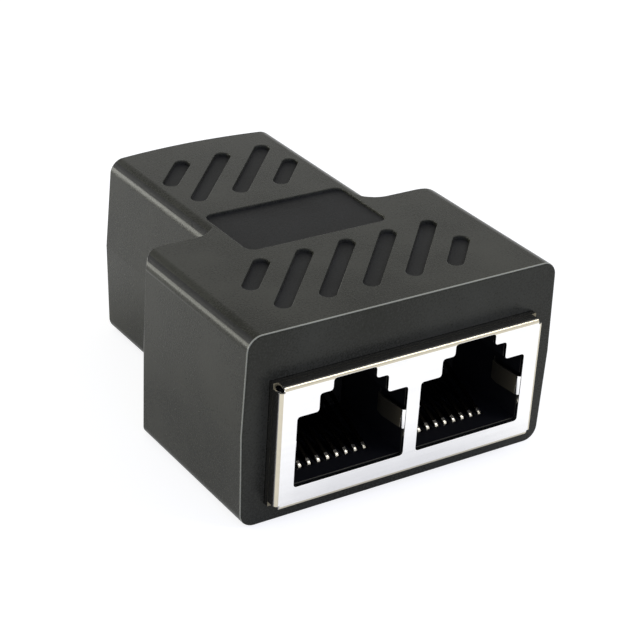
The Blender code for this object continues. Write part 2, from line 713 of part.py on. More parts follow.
def build_carrier(name, centre_x, frame, material):
    """Moulding that closes the back of a port, with a comb for the contacts' free ends."""
    half = cavity_half - MOULD_GAP
    foot = insulator_floor + MOULD_GAP
    shoulder = port_top - MOULD_GAP
    tower = roof_back + MOULD_GAP
    head = shield_top - SHEET
    outline = [(PORT_DEPTH, foot), (jack_back, foot), (jack_back, head), (tower, head),
               (tower, shoulder), (PORT_DEPTH, shoulder)]
    carrier = add_part(name, prism(name, outline, centre_x - half, centre_x + half, ALONG_X), frame, material)

    free_end = contact_path(tail_rows[0])[-1][1]
    combs, grooves = [], []
    for index, x in enumerate(contact_places(centre_x)):
        left, right = x - contact_slot_half, x + contact_slot_half
        combs.append(((left, PORT_DEPTH - OVERCUT, foot - OVERCUT),
                      (right, PORT_DEPTH + CARRIER_COMB_DEPTH, free_end + 2 * CONTACT_THICKNESS)))
        front = tail_rows[index % 2] - CONTACT_THICKNESS / 2 - CONTACT_SIDE_GAP
        grooves.append(((left, front, foot - OVERCUT), (right, jack_back + OVERCUT, head + OVERCUT)))
    combine(carrier, add_tool(name + "_comb", boxes(name, combs), frame), "DIFFERENCE")
    combine(carrier, add_tool(name + "_grooves", boxes(name, grooves), frame), "DIFFERENCE")


def build_contacts(label, centre_x, frame, material):
    """Eight sprung contacts, their tails in two rows."""
    for index, x in enumerate(contact_places(centre_x)):
        name = "%s_contact_%d" % (label, index + 1)
        outline = strip(contact_path(tail_rows[index % 2]), CONTACT_THICKNESS)
        low, high = x - CONTACT_WIDTH / 2, x + CONTACT_WIDTH / 2
        add_part(name, prism(name, outline, low, high, ALONG_X), frame, material)


def build_jack(label, ports, port_labels, half, frame, finishes):
    build_shield(label + "_shield", ports, half, frame, finishes["shield"])
    build_insulator(label + "_insulator", ports, half, frame, finishes["insulator"])
    for port_label, centre_x in zip(port_labels, ports):
        build_carrier(port_label + "_carrier", centre_x, frame, finishes["carrier"])
        build_contacts(port_label, centre_x, frame, finishes["contact"])


# Circuit board


def build_board(frames, material):
    """Board that joins the jacks, lying over both of them."""
    front_frame, rear_frame, housing_frame = frames
    wide = front_shield_half - BOARD_GAP
    narrow = rear_shield_half - BOARD_GAP
    neck = boss_places[1][0] - BOSS_RADIUS - BOARD_END_GAP
    wide_back = front_y + jack_inset
    narrow_front = rear_y - jack_inset
    corner = BOARD_CORNER
    half = [(wide - corner, board_front), (wide, board_front + corner), (wide, wide_back - corner),
            (neck, wide_back), (neck, narrow_front), (narrow, narrow_front + corner),
            (narrow, board_rear - corner), (narrow - corner, board_rear)]
    plate = prism("board", mirrored(half), board_bottom, board_top)
    board = add_part("circuit_board", plate, housing_frame, material)

    hole_radius = CONTACT_WIDTH / 2 + BOARD_HOLE_GAP
    low, high = board_bottom - OVERCUT, board_top + OVERCUT
    ports = [("front", x, front_frame) for x in front_ports] + [("rear", x, rear_frame) for x in rear_ports]
    for label, centre_x, frame in ports:
        tails = [(x, tail_rows[index % 2]) for index, x in enumerate(contact_places(centre_x))]
        drilled = cylinders("board", hole_radius, low, high, tails, HOLE_STEPS)
        combine(board, add_tool(label + "_tail_holes", drilled, frame), "DIFFERENCE")
        for place in post_places(centre_x):
            bored = cylinders("board", POST_RADIUS + BOARD_POST_GAP, low, high, [place])
            combine(board, add_tool(label + "_post_hole", bored, frame), "DIFFERENCE")


def build():
    housing_frame = make_frame("housing_frame", 0.0)
    front_frame = make_frame("front_jack_frame", front_y - SHIELD_PROTRUSION)
    rear_frame = make_frame("rear_jack_frame", rear_y + SHIELD_PROTRUSION, math.pi)
    housing_plastic = make_material("housing_plastic", (0.06, 0.06, 0.055), 0.55)
    board_laminate = make_material("board_laminate", (0.02, 0.12, 0.05), 0.5)
    finishes = {
        "shield": make_material("plated_sheet", (0.75, 0.74, 0.71), 0.25, 1.0),
        "insulator": make_material("jack_plastic", (0.012, 0.012, 0.014), 0.5),
        "carrier": make_material("carrier_plastic", (0.015, 0.015, 0.017), 0.5),
        "contact": make_material("plated_contact", (0.8, 0.65, 0.35), 0.3, 1.0),
    }
    build_housing(housing_frame, housing_plastic)
    build_jack("front", front_ports, ("left", "right"), front_shield_half, front_frame, finishes)
    build_jack("rear", rear_ports, ("rear",), rear_shield_half, rear_frame, finishes)
    build_board((front_frame, rear_frame, housing_frame), board_laminate)


build()
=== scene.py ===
import math

import bmesh
import bpy
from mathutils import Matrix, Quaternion, Vector
from mathutils.geometry import intersect_line_line


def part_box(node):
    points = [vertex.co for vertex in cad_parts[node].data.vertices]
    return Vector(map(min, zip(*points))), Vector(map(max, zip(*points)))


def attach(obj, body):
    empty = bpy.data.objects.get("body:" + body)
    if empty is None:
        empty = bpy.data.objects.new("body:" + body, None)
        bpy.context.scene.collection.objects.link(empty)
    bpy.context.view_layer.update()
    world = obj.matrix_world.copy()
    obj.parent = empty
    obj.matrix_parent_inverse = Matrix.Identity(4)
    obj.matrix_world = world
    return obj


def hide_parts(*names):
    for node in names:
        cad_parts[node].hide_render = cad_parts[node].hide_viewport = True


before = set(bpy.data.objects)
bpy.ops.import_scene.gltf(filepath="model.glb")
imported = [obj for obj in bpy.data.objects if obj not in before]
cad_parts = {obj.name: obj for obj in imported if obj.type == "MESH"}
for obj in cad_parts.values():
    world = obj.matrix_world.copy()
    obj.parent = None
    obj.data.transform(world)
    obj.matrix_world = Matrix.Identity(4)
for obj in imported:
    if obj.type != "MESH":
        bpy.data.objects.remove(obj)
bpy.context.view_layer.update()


# Studio
# The adapter lies on a pale table in a pale room, seen from its left, in front and above, as in the
# photograph. Its gloss shows a low window behind it on the left, a greyer ceiling, and a table that is
# darker close by, where the adapter shades it. To the camera the table and the room are white.

MM = 0.001

CAMERA_PLACE = (-95.51 * MM, -143.47 * MM, 98.09 * MM)
CAMERA_AZIMUTH = math.radians(-34.834)
CAMERA_ELEVATION = math.radians(27.611)
CAMERA_ROLL = math.radians(3.618)
CAMERA_LENS = 109.95
CAMERA_SENSOR = 36.0
CAMERA_NEAREST = 10 * MM

camera_data = bpy.data.cameras.new("camera")
camera_data.lens = CAMERA_LENS
camera_data.sensor_width = CAMERA_SENSOR
camera_data.clip_start = CAMERA_NEAREST
camera = bpy.data.objects.new("camera", camera_data)
bpy.context.scene.collection.objects.link(camera)
towards_camera = Vector((
    math.sin(CAMERA_AZIMUTH) * math.cos(CAMERA_ELEVATION),
    -math.cos(CAMERA_AZIMUTH) * math.cos(CAMERA_ELEVATION),
    math.sin(CAMERA_ELEVATION),
))
camera.location = CAMERA_PLACE
camera.rotation_mode = "QUATERNION"
level = (-towards_camera).to_track_quat("-Z", "Y")
camera.rotation_quaternion = level @ Quaternion((0.0, 0.0, 1.0), CAMERA_ROLL)
bpy.context.scene.camera = camera
bpy.context.scene.view_settings.view_transform = "Standard"


def seen_directly(tree):
    """Gives 1 for what is seen, straight or in gloss and glass, and 0 for light that falls on things."""
    path = tree.nodes.new("ShaderNodeLightPath")
    gloss = tree.nodes.new("ShaderNodeMath")
    gloss.operation = "MAXIMUM"
    tree.links.new(path.outputs["Is Camera Ray"], gloss.inputs[0])
    tree.links.new(path.outputs["Is Glossy Ray"], gloss.inputs[1])
    glass = tree.nodes.new("ShaderNodeMath")
    glass.operation = "MAXIMUM"
    tree.links.new(gloss.outputs[0], glass.inputs[0])
    tree.links.new(path.outputs["Is Transmission Ray"], glass.inputs[1])
    return glass.outputs[0]


ROOM_LIGHT = 0.55
COOL_LIGHT = (0.8, 0.9, 1.55, 1.0)
WARM_LIGHT = (1.06, 1.03, 0.62, 1.0)
WARM_TURN = 0.6
HORIZON_TOP = math.sin(math.radians(12.0))
CEILING_FOOT = math.sin(math.radians(28.0))
CEILING_WHITE = 0.48
WINDOW_DIRECTION = (-0.66, 0.75, 0.0)
WINDOW_EDGE = 0.6
WINDOW_CORE = 0.97
WINDOW_TOP = 0.62
WINDOW_FADE = 2.0
WINDOW_LIGHT = 9.0

room = bpy.data.worlds.new("room")
bpy.context.scene.world = room
room.use_nodes = True
tree = room.node_tree
tree.nodes.clear()
direction = tree.nodes.new("ShaderNodeTexCoord")
height = tree.nodes.new("ShaderNodeSeparateXYZ")
tree.links.new(direction.outputs["Generated"], height.inputs[0])

# The light that falls on things is cool from the front and warm from behind.
from_behind = tree.nodes.new("ShaderNodeMapRange")
from_behind.inputs["From Min"].default_value = -WARM_TURN
from_behind.inputs["From Max"].default_value = WARM_TURN
tree.links.new(height.outputs["Y"], from_behind.inputs["Value"])
daylight = tree.nodes.new("ShaderNodeMix")
daylight.data_type = "RGBA"
daylight.inputs["A"].default_value = COOL_LIGHT
daylight.inputs["B"].default_value = WARM_LIGHT
tree.links.new(from_behind.outputs[0], daylight.inputs["Factor"])
lit = tree.nodes.new("ShaderNodeBackground")
lit.inputs["Strength"].default_value = ROOM_LIGHT
tree.links.new(daylight.outputs["Result"], lit.inputs["Color"])

# Gloss shows walls that turn greyer towards the ceiling, and a window that fades towards its top.
ceiling = tree.nodes.new("ShaderNodeMapRange")
ceiling.interpolation_type = "SMOOTHSTEP"
ceiling.inputs["From Min"].default_value = HORIZON_TOP
ceiling.inputs["From Max"].default_value = CEILING_FOOT
ceiling.inputs["To Min"].default_value = 1.0
ceiling.inputs["To Max"].default_value = CEILING_WHITE
tree.links.new(height.outputs["Z"], ceiling.inputs["Value"])
towards_window = tree.nodes.new("ShaderNodeVectorMath")
towards_window.operation = "DOT_PRODUCT"
towards_window.inputs[1].default_value = WINDOW_DIRECTION
tree.links.new(direction.outputs["Generated"], towards_window.inputs[0])
across = tree.nodes.new("ShaderNodeMapRange")
across.interpolation_type = "SMOOTHSTEP"
across.inputs["From Min"].default_value = WINDOW_EDGE
across.inputs["From Max"].default_value = WINDOW_CORE
tree.links.new(towards_window.outputs["Value"], across.inputs["Value"])
upwards = tree.nodes.new("ShaderNodeMapRange")
upwards.inputs["From Min"].default_value = 0.0
upwards.inputs["From Max"].default_value = WINDOW_TOP
upwards.inputs["To Min"].default_value = 1.0
upwards.inputs["To Max"].default_value = 0.0
tree.links.new(height.outputs["Z"], upwards.inputs["Value"])
steeper = tree.nodes.new("ShaderNodeMath")
steeper.operation = "POWER"
steeper.inputs[1].default_value = WINDOW_FADE
tree.links.new(upwards.outputs[0], steeper.inputs[0])
pane = tree.nodes.new("ShaderNodeMath")
pane.operation = "MULTIPLY"
tree.links.new(across.outputs[0], pane.inputs[0])
tree.links.new(steeper.outputs[0], pane.inputs[1])
window = tree.nodes.new("ShaderNodeMath")
window.operation = "MULTIPLY_ADD"
window.inputs[1].default_value = WINDOW_LIGHT
tree.links.new(pane.outputs[0], window.inputs[0])
tree.links.new(ceiling.outputs[0], window.inputs[2])

# The camera sees white behind the adapter from every side.
path = tree.nodes.new("ShaderNodeLightPath")
backdrop = tree.nodes.new("ShaderNodeMath")
backdrop.operation = "MAXIMUM"
tree.links.new(window.outputs[0], backdrop.inputs[0])
tree.links.new(path.outputs["Is Camera Ray"], backdrop.inputs[1])
seen = tree.nodes.new("ShaderNodeBackground")
seen.inputs["Color"].default_value = (1.0, 1.0, 1.0, 1.0)
tree.links.new(backdrop.outputs[0], seen.inputs["Strength"])
choice = tree.nodes.new("ShaderNodeMixShader")
tree.links.new(seen_directly(tree), choice.inputs["Fac"])
tree.links.new(lit.outputs[0], choice.inputs[1])
tree.links.new(seen.outputs[0], choice.inputs[2])
output = tree.nodes.new("ShaderNodeOutputWorld")
tree.links.new(choice.outputs[0], output.inputs["Surface"])

TABLE_SIZE = 4.0
TABLE_DROP = 0.03 * MM
TABLE_WHITE = 0.4
TABLE_ROUGHNESS = 0.9
TABLE_GLOW = 0.82
SHADED_GLOW = 0.5
SHADED_TO = 22 * MM
CLEAR_FROM = 33 * MM

bpy.ops.object.select_all(action="DESELECT")
bpy.ops.mesh.primitive_plane_add(size=TABLE_SIZE, location=(0.0, 0.0, -TABLE_DROP))
table = bpy.context.object
table.name = "table"
paper = bpy.data.materials.new("table_paper")
paper.use_nodes = True
tree = paper.node_tree
shader = tree.nodes["Principled BSDF"]
shader.inputs["Base Color"].default_value = (TABLE_WHITE, TABLE_WHITE, TABLE_WHITE, 1.0)
shader.inputs["Roughness"].default_value = TABLE_ROUGHNESS
shader.inputs["Specular IOR Level"].default_value = 0.0

# The paper glows where it is seen, and less so in gloss close to the adapter.
brightness = tree.nodes.new("ShaderNodeMath")
brightness.operation = "MULTIPLY"
brightness.inputs[1].default_value = TABLE_GLOW
tree.links.new(seen_directly(tree), brightness.inputs[0])
place = tree.nodes.new("ShaderNodeTexCoord")
reach = tree.nodes.new("ShaderNodeVectorMath")
reach.operation = "LENGTH"
tree.links.new(place.outputs["Object"], reach.inputs[0])
shaded = tree.nodes.new("ShaderNodeMapRange")
shaded.inputs["From Min"].default_value = SHADED_TO
shaded.inputs["From Max"].default_value = CLEAR_FROM
shaded.inputs["To Min"].default_value = SHADED_GLOW
shaded.inputs["To Max"].default_value = 1.0
tree.links.new(reach.outputs["Value"], shaded.inputs["Value"])
path = tree.nodes.new("ShaderNodeLightPath")
in_gloss = tree.nodes.new("ShaderNodeMath")
in_gloss.operation = "MAXIMUM"
tree.links.new(shaded.outputs[0], in_gloss.inputs[0])
tree.links.new(path.outputs["Is Camera Ray"], in_gloss.inputs[1])
table_light = tree.nodes.new("ShaderNodeMath")
table_light.operation = "MULTIPLY"
tree.links.new(brightness.outputs[0], table_light.inputs[0])
tree.links.new(in_gloss.outputs[0], table_light.inputs[1])
glow = tree.nodes.new("ShaderNodeEmission")
tree.links.new(table_light.outputs[0], glow.inputs["Strength"])
both = tree.nodes.new("ShaderNodeAddShader")
tree.links.new(shader.outputs[0], both.inputs[0])
tree.links.new(glow.outputs[0], both.inputs[1])

# From below the table is clear, so that the underside shows.
underneath = tree.nodes.new("ShaderNodeNewGeometry")
clear = tree.nodes.new("ShaderNodeBsdfTransparent")
one_sided = tree.nodes.new("ShaderNodeMixShader")
tree.links.new(underneath.outputs["Backfacing"], one_sided.inputs["Fac"])
tree.links.new(both.outputs[0], one_sided.inputs[1])
tree.links.new(clear.outputs[0], one_sided.inputs[2])
tree.links.new(one_sided.outputs[0], tree.nodes["Material Output"].inputs["Surface"])
table.data.materials.append(paper)


def softbox(name, direction, distance, width, height, power):
    """Hangs a lamp that points at the adapter."""
    lamp = bpy.data.lights.new(name, "AREA")
    lamp.shape = "RECTANGLE"
    lamp.size = width
    lamp.size_y = height
    lamp.energy = power
    holder = bpy.data.objects.new(name, lamp)
    bpy.context.scene.collection.objects.link(holder)
    holder.location = Vector(direction).normalized() * distance
    holder.rotation_mode = "QUATERNION"
    holder.rotation_quaternion = Vector(direction).to_track_quat("Z", "Y")


softbox("key_lamp", direction=(-0.62, 0.73, 0.3), distance=0.6, width=0.5, height=0.4, power=0.9)
softbox("fill_lamp", direction=(0.5, -0.45, 0.72), distance=0.7, width=0.2, height=0.2, power=1.0)


# Housing
# Two half shells moulded in black plastic with a fine matte grain, closed round the jacks at
# mid-height. Their outer edges are slightly round, and the rim round the front face has a painted
# highlight.

SHARP = math.radians(30.0)
SHADED_SHARP = math.radians(40.0)
FLAT = math.radians(0.4)
MERGED = 0.001 * MM
SLIVER = 0.002 * MM
EDGE_STEPS = 2


def round_edges(piece, edge_radius, share=lambda edge: 1.0):
    """Rounds the sharp outer edges, each by its own share of the radius."""
    bpy.ops.object.select_all(action="DESELECT")
    piece.select_set(True)
    bpy.context.view_layer.objects.active = piece
    shape = bmesh.new()
    shape.from_mesh(piece.data)
    weight = shape.edges.layers.float.new("bevel_weight_edge")
    for edge in shape.edges:
        if len(edge.link_faces) == 2 and edge.is_convex and edge.calc_face_angle() > SHARP:
            edge[weight] = share(edge)
    shape.to_mesh(piece.data)
    shape.free()
    rounding = piece.modifiers.new("rounding", "BEVEL")
    rounding.width = edge_radius
    rounding.segments = EDGE_STEPS
    rounding.limit_method = "WEIGHT"
    rounding.use_clamp_overlap = False
    bpy.ops.object.modifier_apply(modifier="rounding")
    bpy.ops.object.shade_smooth_by_angle(angle=SHADED_SHARP)
    shading = piece.modifiers.new("shading", "WEIGHTED_NORMAL")
    shading.keep_sharp = True
    shading.weight = 100
    bpy.ops.object.modifier_apply(modifier="shading")


def take_shape(node, name):
    """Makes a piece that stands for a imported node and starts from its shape."""
    piece = bpy.data.objects.new(name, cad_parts[node].data.copy())
    bpy.context.scene.collection.objects.link(piece)
    bpy.ops.object.select_all(action="DESELECT")
    piece.select_set(True)
    bpy.context.view_layer.objects.active = piece
    bpy.ops.mesh.customdata_custom_splitnormals_clear()
    bpy.ops.object.mode_set(mode="EDIT")
    bpy.ops.mesh.select_all(action="SELECT")
    bpy.ops.mesh.remove_doubles(threshold=MERGED)
    bpy.ops.mesh.dissolve_degenerate(threshold=SLIVER)
    bpy.ops.mesh.dissolve_limited(angle_limit=FLAT)
    bpy.ops.object.mode_set(mode="OBJECT")
    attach(piece, "root")
    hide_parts(node)
    return piece


def finish(piece, *materials):
    """Gives a piece its materials. Its faces start with the first one."""
    piece.data.materials.clear()
    for material in materials:
        piece.data.materials.append(material)


def moulded_grain():
    """Makes the fine spark-eroded grain, with a slow change of colour and gloss."""
    group = bpy.data.node_groups.new("moulded_grain", "ShaderNodeTree")
    for name, default in (("Grain Scale", 5000.0), ("Cloud Scale", 120.0), ("Cloud Strength", 0.3),
                          ("Roughness", 0.5), ("Roughness Spread", 0.1)):
        socket = group.interface.new_socket(name, in_out="INPUT", socket_type="NodeSocketFloat")
        socket.default_value = default
    group.interface.new_socket("Base Color", in_out="INPUT", socket_type="NodeSocketColor")
    group.interface.new_socket("Colour", in_out="OUTPUT", socket_type="NodeSocketColor")
    group.interface.new_socket("Roughness", in_out="OUTPUT", socket_type="NodeSocketFloat")
    group.interface.new_socket("Height", in_out="OUTPUT", socket_type="NodeSocketFloat")
    inside = group.nodes.new("NodeGroupInput")
    outside = group.nodes.new("NodeGroupOutput")
    place = group.nodes.new("ShaderNodeTexCoord")
    fine = group.nodes.new("ShaderNodeTexNoise")
    fine.inputs["Detail"].default_value = 3.0
    fine.inputs["Roughness"].default_value = 0.6
    cloud = group.nodes.new("ShaderNodeTexNoise")
    cloud.inputs["Detail"].default_value = 4.0
    group.links.new(place.outputs["Object"], fine.inputs["Vector"])
    group.links.new(place.outputs["Object"], cloud.inputs["Vector"])
    group.links.new(inside.outputs["Grain Scale"], fine.inputs["Scale"])
    group.links.new(inside.outputs["Cloud Scale"], cloud.inputs["Scale"])

    # Each noise swings round a half, so their sum less one swings round nought.
    mixed = group.nodes.new("ShaderNodeMath")
    mixed.operation = "ADD"
    group.links.new(fine.outputs["Fac"], mixed.inputs[0])
    group.links.new(cloud.outputs["Fac"], mixed.inputs[1])
    centred = group.nodes.new("ShaderNodeMath")
    centred.operation = "SUBTRACT"
    centred.inputs[1].default_value = 1.0
    group.links.new(mixed.outputs[0], centred.inputs[0])

    shade = group.nodes.new("ShaderNodeMath")
    shade.operation = "MULTIPLY_ADD"
    shade.inputs[2].default_value = 1.0
    group.links.new(centred.outputs[0], shade.inputs[0])
    group.links.new(inside.outputs["Cloud Strength"], shade.inputs[1])
    tint = group.nodes.new("ShaderNodeVectorMath")
    tint.operation = "SCALE"
    group.links.new(inside.outputs["Base Color"], tint.inputs[0])
    group.links.new(shade.outputs[0], tint.inputs["Scale"])
    group.links.new(tint.outputs[0], outside.inputs["Colour"])

    gloss = group.nodes.new("ShaderNodeMath")
    gloss.operation = "MULTIPLY_ADD"
    group.links.new(centred.outputs[0], gloss.inputs[0])
    group.links.new(inside.outputs["Roughness Spread"], gloss.inputs[1])
    group.links.new(inside.outputs["Roughness"], gloss.inputs[2])
    group.links.new(gloss.outputs[0], outside.inputs["Roughness"])
    group.links.new(fine.outputs["Fac"], outside.inputs["Height"])
    return group


WARM_GLOSS = (1.0, 1.0, 0.82, 1.0)
GLOSS_SPREAD = 0.12

grain_group = moulded_grain()


def moulded_plastic(name, colour, roughness, grain_scale, grain_depth, cloud=0.3, gloss=0.5):
    """Makes a plastic with its own colour and gloss, and the grain of the mould."""
    material = bpy.data.materials.new(name)
    material.use_nodes = True
    tree = material.node_tree
    shader = tree.nodes["Principled BSDF"]
    shader.inputs["Specular IOR Level"].default_value = gloss
    shader.inputs["Specular Tint"].default_value = WARM_GLOSS
    grain = tree.nodes.new("ShaderNodeGroup")
    grain.node_tree = grain_group
    grain.inputs["Base Color"].default_value = (*colour, 1.0)
    grain.inputs["Roughness"].default_value = roughness
    grain.inputs["Roughness Spread"].default_value = GLOSS_SPREAD
    grain.inputs["Grain Scale"].default_value = grain_scale
    grain.inputs["Cloud Strength"].default_value = cloud
    tree.links.new(grain.outputs["Colour"], shader.inputs["Base Color"])
    tree.links.new(grain.outputs["Roughness"], shader.inputs["Roughness"])
    bump = tree.nodes.new("ShaderNodeBump")
    bump.inputs["Distance"].default_value = grain_depth
    tree.links.new(grain.outputs["Height"], bump.inputs["Height"])
    tree.links.new(bump.outputs["Normal"], shader.inputs["Normal"])
    return material


HOUSING_COLOUR = (0.033, 0.033, 0.0255)
RIM_HIGHLIGHT_COLOUR = (0.38, 0.38, 0.31)
FLOOR_COLOUR = (0.02, 0.02, 0.02)
HOUSING_GRAIN = 5200.0
SHELL_EDGE = 0.1 * MM
NEAR = 0.03 * MM
SEAM_BAND = 2 * NEAR
SEAM_GAP = 0.006 * MM
HALF_PARTING = 0.02 * MM
HOLE_BAND = 2 * NEAR
HOLE_REACH = 0.4 * MM
JACK_CLEARANCE = 0.03 * MM
FRONT_WALL = 1.5 * MM
REAR_INSIDE = 17.45 * MM
FRONT_RIM = 0.6 * MM
RIM_TURN = (0.1, 0.66)
FLOOR_HIGHEST = 0.2 * MM
FLOOR_DEEPEST = 0.6 * MM
FACING_UP = 0.5
SHELL_PLASTIC, RIM_HIGHLIGHT, FLOOR_PLASTIC = range(3)

upper_low, upper_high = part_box("housing_top")
front_low, front_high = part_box("front_shield")
rear_low, rear_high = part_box("rear_shield")
front_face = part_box("housing_bottom")[0].y
seam = upper_low.z


def by_jack(place, reach):
    """Gives the shield's box for a place in an end wall that lies at the shield or within reach of it."""
    if front_face + FRONT_WALL + NEAR < place.y < REAR_INSIDE - NEAR:
        return None
    low, high = (front_low, front_high) if place.y < 0.0 else (rear_low, rear_high)
    if abs(place.x) < high.x + reach and low.z - reach < place.z < high.z + reach:
        return low, high
    return None


def shell_share(edge):
    """Keeps the seam and the holes for the shields crisp."""
    on_seam = all(abs(vertex.co.z - seam) < SEAM_BAND for vertex in edge.verts)
    at_hole = all(by_jack(vertex.co, HOLE_BAND) for vertex in edge.verts)
    return 0.0 if on_seam or at_hole else 1.0


def close_up(shell):
    """Brings the seam and the holes for the shields to a close fit."""
    for vertex in shell.data.vertices:
        place = vertex.co
        if abs(place.z - seam) < SEAM_BAND:
            middle = seam - HALF_PARTING
            place.z = middle + math.copysign(SEAM_GAP / 2, place.z - middle)
        box = by_jack(place, HOLE_REACH)
        if box:
            low, high = box
            if abs(place.x) > high.x:
                place.x = math.copysign(high.x + JACK_CLEARANCE, place.x)
            if place.z > high.z:
                place.z = high.z + JACK_CLEARANCE
            elif place.z < low.z:
                place.z = low.z - JACK_CLEARANCE


housing_plastic = moulded_plastic("housing_plastic", HOUSING_COLOUR, roughness=0.28,
                                  grain_scale=HOUSING_GRAIN, grain_depth=0.012 * MM, cloud=1.6, gloss=0.2)
# A lighter plastic paints the highlight along the rim of the front face.
rim_highlight_plastic = moulded_plastic("rim_highlight_plastic", RIM_HIGHLIGHT_COLOUR, roughness=0.3,
                               grain_scale=HOUSING_GRAIN, grain_depth=0.008 * MM, gloss=0.4)
darker_floor_plastic = moulded_plastic("darker_floor_plastic", FLOOR_COLOUR, roughness=0.55,
                                 grain_scale=HOUSING_GRAIN, grain_depth=0.02 * MM, cloud=1.6, gloss=0.13)
for node, name in (("housing_top", "upper_shell"), ("housing_bottom", "lower_shell")):
    shell = take_shape(node, name)
    close_up(shell)
    round_edges(shell, SHELL_EDGE, shell_share)
    finish(shell, housing_plastic, rim_highlight_plastic, darker_floor_plastic)
    for face in shell.data.polygons:
        depth = upper_high.z - face.center.z
        # The rim round the front face is painted lighter, as a highlight.
        if face.center.y < front_face + FRONT_RIM and RIM_TURN[0] < -face.normal.y < RIM_TURN[1]:
            face.material_index = RIM_HIGHLIGHT
        # The floors of the slots and of the recess in the top are given a darker colour.
        elif face.normal.z > FACING_UP and FLOOR_HIGHEST < depth < FLOOR_DEEPEST:
            face.material_index = FLOOR_PLASTIC
        else:
            face.material_index = SHELL_PLASTIC


# Jack shields
# Each is one nickel-plated sheet, cut and folded into a box, with ground fingers bent back into the
# ports. The plating is bright with faint rolling lines; the folds, the walls behind them and the fingers
# carry painted light and shade.

def rolled_lines():
    """Makes faint lines from rolling, with small stains and rubbed spots."""
    group = bpy.data.node_groups.new("rolled_lines", "ShaderNodeTree")
    for name, default in (("Line Scale", 900.0), ("Roughness", 0.25), ("Roughness Spread", 0.2)):
        socket = group.interface.new_socket(name, in_out="INPUT", socket_type="NodeSocketFloat")
        socket.default_value = default
    group.interface.new_socket("Base Color", in_out="INPUT", socket_type="NodeSocketColor")
    group.interface.new_socket("Colour", in_out="OUTPUT", socket_type="NodeSocketColor")
    group.interface.new_socket("Roughness", in_out="OUTPUT", socket_type="NodeSocketFloat")
    group.interface.new_socket("Height", in_out="OUTPUT", socket_type="NodeSocketFloat")
    inside = group.nodes.new("NodeGroupInput")
    outside = group.nodes.new("NodeGroupOutput")
    place = group.nodes.new("ShaderNodeTexCoord")
    along = group.nodes.new("ShaderNodeMapping")
    along.inputs["Scale"].default_value = (0.06, 1.0, 1.0)
    group.links.new(place.outputs["Object"], along.inputs["Vector"])
    lines = group.nodes.new("ShaderNodeTexNoise")
    lines.inputs["Detail"].default_value = 5.0
    group.links.new(along.outputs[0], lines.inputs["Vector"])
    group.links.new(inside.outputs["Line Scale"], lines.inputs["Scale"])
    stains = group.nodes.new("ShaderNodeTexNoise")
    stains.inputs["Scale"].default_value = 260.0
    stains.inputs["Detail"].default_value = 3.0
    group.links.new(place.outputs["Object"], stains.inputs["Vector"])
    blend = group.nodes.new("ShaderNodeMath")
    blend.operation = "MULTIPLY"
    group.links.new(lines.outputs["Fac"], blend.inputs[0])
    group.links.new(stains.outputs["Fac"], blend.inputs[1])
    gloss = group.nodes.new("ShaderNodeMath")
    gloss.operation = "MULTIPLY_ADD"
    group.links.new(blend.outputs[0], gloss.inputs[0])
    group.links.new(inside.outputs["Roughness Spread"], gloss.inputs[1])
    group.links.new(inside.outputs["Roughness"], gloss.inputs[2])
    group.links.new(gloss.outputs[0], outside.inputs["Roughness"])
    shade = group.nodes.new("ShaderNodeMapRange")
    shade.inputs["From Min"].default_value = 0.1
    shade.inputs["From Max"].default_value = 0.45
    shade.inputs["To Min"].default_value = 1.0
    shade.inputs["To Max"].default_value = 0.93
    group.links.new(blend.outputs[0], shade.inputs["Value"])
    tint = group.nodes.new("ShaderNodeVectorMath")
    tint.operation = "SCALE"
    group.links.new(inside.outputs["Base Color"], tint.inputs[0])
    group.links.new(shade.outputs[0], tint.inputs["Scale"])
    group.links.new(tint.outputs[0], outside.inputs["Colour"])
    group.links.new(lines.outputs["Fac"], outside.inputs["Height"])
    return group


rolled_group = rolled_lines()


def plated_metal(name, colour, roughness, spread, line_scale, line_depth):
    """Makes a plated metal with its own colour and gloss, and the lines of the rolled strip."""
    material = bpy.data.materials.new(name)
    material.use_nodes = True
    tree = material.node_tree
    shader = tree.nodes["Principled BSDF"]
    shader.inputs["Metallic"].default_value = 1.0
    lines = tree.nodes.new("ShaderNodeGroup")
    lines.name = "lines"
    lines.node_tree = rolled_group
    lines.inputs["Base Color"].default_value = (*colour, 1.0)
    lines.inputs["Roughness"].default_value = roughness
    lines.inputs["Roughness Spread"].default_value = spread
    lines.inputs["Line Scale"].default_value = line_scale
    tree.links.new(lines.outputs["Colour"], shader.inputs["Base Color"])
    tree.links.new(lines.outputs["Roughness"], shader.inputs["Roughness"])
    bump = tree.nodes.new("ShaderNodeBump")
    bump.inputs["Distance"].default_value = line_depth
    tree.links.new(lines.outputs["Height"], bump.inputs["Height"])
    tree.links.new(bump.outputs["Normal"], shader.inputs["Normal"])
    return material


SHIELD_COLOUR = (0.97, 0.965, 0.95)
# The fold and wall colours paint light and shade: a lit cream tone and a darker shaded grey.
LIT_FOLD_COLOUR = (0.66, 0.61, 0.48)
# The fingers inside the port and the small corner holes are painted dark brown as shade.
SHADED_FINGER_COLOUR = (0.2, 0.18, 0.13)
SHADED_WALL_COLOUR = (0.25, 0.245, 0.24)
SHIELD_LINES = 2500.0
LINE_DEPTH = 0.0003 * MM
DULL_LINE_DEPTH = 0.0004 * MM
SHIELD_EDGE = 0.04 * MM
ROOM_PER_EDGE = 2.2
SHEET = 0.3 * MM
HAIR = 0.01 * MM
FOLD_REACH = 0.5 * MM
CORNER_HOLE = 1.15 * MM
CORNER_STEP = 0.02 * MM
HOLE_SHADE = 0.1 * MM
FACING_FRONT = 0.97
FACING_OUT = 0.995
FOLD_MIDDLE = 0.5
PLATE, LIT_FOLD, SHADED_FINGER, SHADED_WALL = range(4)


